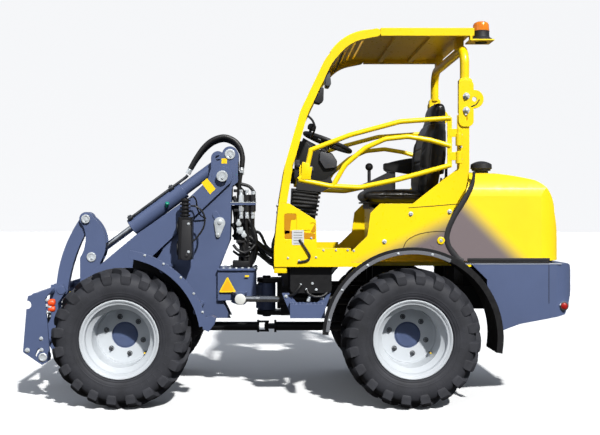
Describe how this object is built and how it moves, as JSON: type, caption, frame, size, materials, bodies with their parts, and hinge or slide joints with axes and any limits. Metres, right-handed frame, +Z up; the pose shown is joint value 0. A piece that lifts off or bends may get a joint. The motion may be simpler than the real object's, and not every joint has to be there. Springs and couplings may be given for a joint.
{
  "type": "compact articulated wheel loader",
  "caption": "Compact wheel loader: rear chassis with canopy cab and tilting hood, articulated front frame with boom, Z-linkage and quick hitch, on wide lugged tyres.",
  "frame": {"origin": "on the ground, below the middle of the machine's box", "axes": "+X forward, +Y left, +Z up"},
  "size_m": [3.13, 1.28, 2.1649],
  "materials": {
    "yellow_paint": "gloss enamel",
    "blue_grey_paint": "satin enamel",
    "black_paint": "satin black paint",
    "bright_steel": "ground and plated",
    "tyre_rubber": "moulded rubber",
    "rim_paint": "light grey enamel",
    "beacon_lens": "moulded lens",
    "black_plastic": "grained plastic",
    "seat_cover": "grained vinyl",
    "red_lens": "moulded lens",
    "hose_rubber": "smooth hose rubber"
  },
  "bodies": {
    "rear_chassis": {"rear_frame": "black_paint", "rear_axle": "black_paint", "tanks": "black_paint", "engine": "black_paint", "counterweight": "blue_grey_paint", "body_panels": "blue_grey_paint", "rear_fenders": "black_paint", "cab_tub": "yellow_paint", "side_panels": "yellow_paint", "front_arch": "yellow_paint", "roof": "yellow_paint", "rear_posts": "yellow_paint", "beacon": "beacon_lens", "seat_base": "black_plastic", "seat_cushion": "seat_cover", "seat_back": "seat_cover", "console": "black_plastic", "steps": "blue_grey_paint", "tail_lamps": "red_lens"},
    "hood": {"hood": "yellow_paint", "precleaner": "black_plastic"},
    "door_left": {"door_left": "yellow_paint"},
    "door_right": {"door_right": "yellow_paint"},
    "steering_wheel": {"steering_wheel": "black_plastic"},
    "steer_barrel": {"steer_barrel": "black_paint"},
    "steer_rod": {"steer_rod": "bright_steel"},
    "front_frame": {"front_frame": "blue_grey_paint", "front_axle": "black_paint", "front_fenders": "blue_grey_paint", "headlamps": "black_paint", "hoses": "hose_rubber"},
    "boom": {"boom": "blue_grey_paint"},
    "lift_barrel": {"lift_barrel": "blue_grey_paint"},
    "lift_rod": {"lift_rod": "bright_steel"},
    "tilt_barrel": {"tilt_barrel": "blue_grey_paint"},
    "tilt_rod": {"tilt_rod": "bright_steel"},
    "lever_pin": {"lever_pin": "bright_steel"},
    "lever": {"lever": "blue_grey_paint"},
    "link_pin": {"link_pin": "bright_steel"},
    "link": {"link": "blue_grey_paint"},
    "hitch_pin": {"hitch_pin": "bright_steel"},
    "hitch": {"hitch": "blue_grey_paint"},
    "wheel_front_left": {"tyre_front_left": "tyre_rubber", "rim_front_left": "rim_paint"},
    "wheel_front_right": {"tyre_front_right": "tyre_rubber", "rim_front_right": "rim_paint"},
    "wheel_rear_left": {"tyre_rear_left": "tyre_rubber", "rim_rear_left": "rim_paint"},
    "wheel_rear_right": {"tyre_rear_right": "tyre_rubber", "rim_rear_right": "rim_paint"}
  },
  "joints": [
    {"name": "articulation", "type": "hinge", "parent": "rear_chassis", "child": "front_frame", "pos_m": [0.192, 0, 0.5625], "axis": [0, 0, 1], "range_deg": [-40, 40]},
    {"name": "boom_lift", "type": "hinge", "parent": "front_frame", "child": "boom", "pos_m": [0.4595, 0, 1.296], "axis": [0, -1, 0], "range_deg": [0, 90]},
    {"name": "hitch_tilt", "type": "hinge", "parent": "hitch_pin", "child": "hitch", "pos_m": [1.431, 0, 0.235], "axis": [0, 1, 0], "range_deg": [-10, 45]},
    {"name": "hitch_follow", "type": "hinge", "parent": "boom", "child": "hitch_pin", "pos_m": [1.431, 0, 0.235], "axis": [0, 1, 0], "range_deg": [-5, 100]},
    {"name": "lever_follow", "type": "hinge", "parent": "boom", "child": "lever_pin", "pos_m": [1.275, 0, 0.632], "axis": [0, 1, 0], "range_deg": [-5, 100]},
    {"name": "lever_swing", "type": "hinge", "parent": "lever_pin", "child": "lever", "pos_m": [1.275, 0, 0.632], "axis": [0, 1, 0], "range_deg": [-30, 100]},
    {"name": "link_follow", "type": "hinge", "parent": "lever", "child": "link_pin", "pos_m": [1.297, 0, 1.0375], "axis": [0, -1, 0], "range_deg": [-5, 100]},
    {"name": "link_swing", "type": "hinge", "parent": "link_pin", "child": "link", "pos_m": [1.297, 0, 1.0375], "axis": [0, -1, 0], "range_deg": [-30, 80]},
    {"name": "lift_barrel_swing", "type": "hinge", "parent": "front_frame", "child": "lift_barrel", "pos_m": [0.477, 0, 1.014], "axis": [0, -1, 0], "range_deg": [-5, 100]},
    {"name": "lift_rod_slide", "type": "slide", "parent": "lift_barrel", "child": "lift_rod", "axis": [0.8318, 0, -0.5551], "range_m": [-0.01, 0.43]},
    {"name": "tilt_barrel_swing", "type": "hinge", "parent": "front_frame", "child": "tilt_barrel", "pos_m": [0.4145, 0, 1.431], "axis": [0, -1, 0], "range_deg": [-5, 110]},
    {"name": "tilt_rod_slide", "type": "slide", "parent": "tilt_barrel", "child": "tilt_rod", "axis": [0.8049, 0, -0.5934], "range_m": [-0.06, 0.3]},
    {"name": "steer_barrel_swing", "type": "hinge", "parent": "rear_chassis", "child": "steer_barrel", "pos_m": [-0.33, 0.27, 0.567], "axis": [0, 0, 1], "range_deg": [-15, 15]},
    {"name": "steer_rod_slide", "type": "slide", "parent": "steer_barrel", "child": "steer_rod", "axis": [0.9975, -0.0708, 0], "range_m": [-0.2, 0.2]},
    {"name": "hood_tilt", "type": "hinge", "parent": "rear_chassis", "child": "hood", "pos_m": [-1.47, 0, 0.818], "axis": [0, -1, 0], "range_deg": [0, 60]},
    {"name": "door_left_swing", "type": "hinge", "parent": "rear_chassis", "child": "door_left", "pos_m": [-0.885, 0.496, 1.45], "axis": [0, 0, 1], "range_deg": [0, 95]},
    {"name": "door_right_swing", "type": "hinge", "parent": "rear_chassis", "child": "door_right", "pos_m": [-0.885, -0.496, 1.45], "axis": [0, 0, -1], "range_deg": [0, 95]},
    {"name": "steering_spin", "type": "hinge", "parent": "rear_chassis", "child": "steering_wheel", "pos_m": [-0.183, 0, 1.509], "axis": [-0.3746, 0, 0.9272], "continuous": true},
    {"name": "wheel_front_left_spin", "type": "hinge", "parent": "front_frame", "child": "wheel_front_left", "pos_m": [0.992, 0.508, 0.385], "axis": [0, 1, 0], "continuous": true},
    {"name": "wheel_front_right_spin", "type": "hinge", "parent": "front_frame", "child": "wheel_front_right", "pos_m": [0.992, -0.508, 0.385], "axis": [0, 1, 0], "continuous": true},
    {"name": "wheel_rear_left_spin", "type": "hinge", "parent": "rear_chassis", "child": "wheel_rear_left", "pos_m": [-0.608, 0.508, 0.385], "axis": [0, 1, 0], "continuous": true},
    {"name": "wheel_rear_right_spin", "type": "hinge", "parent": "rear_chassis", "child": "wheel_rear_right", "pos_m": [-0.608, -0.508, 0.385], "axis": [0, 1, 0], "continuous": true}
  ],
  "couplings": [
    {"joint": "hitch_follow", "follows": "boom_lift", "ratio": 0.699},
    {"joint": "lever_follow", "follows": "boom_lift", "ratio": 0.65},
    {"joint": "link_follow", "follows": "boom_lift", "ratio": 0.616},
    {"joint": "lift_barrel_swing", "follows": "boom_lift", "ratio": 0.9656},
    {"joint": "lift_rod_slide", "follows": "boom_lift", "m_per_rad": 0.2535},
    {"joint": "tilt_barrel_swing", "follows": "boom_lift", "ratio": 0.984},
    {"joint": "lever_swing", "follows": "hitch_tilt", "ratio": 0.916},
    {"joint": "link_swing", "follows": "hitch_tilt", "ratio": 0.875},
    {"joint": "tilt_rod_slide", "follows": "hitch_tilt", "m_per_rad": 0.1317},
    {"joint": "steer_barrel_swing", "follows": "articulation", "ratio": 0.18},
    {"joint": "steer_rod_slide", "follows": "articulation", "m_per_rad": -0.222}
  ]
}
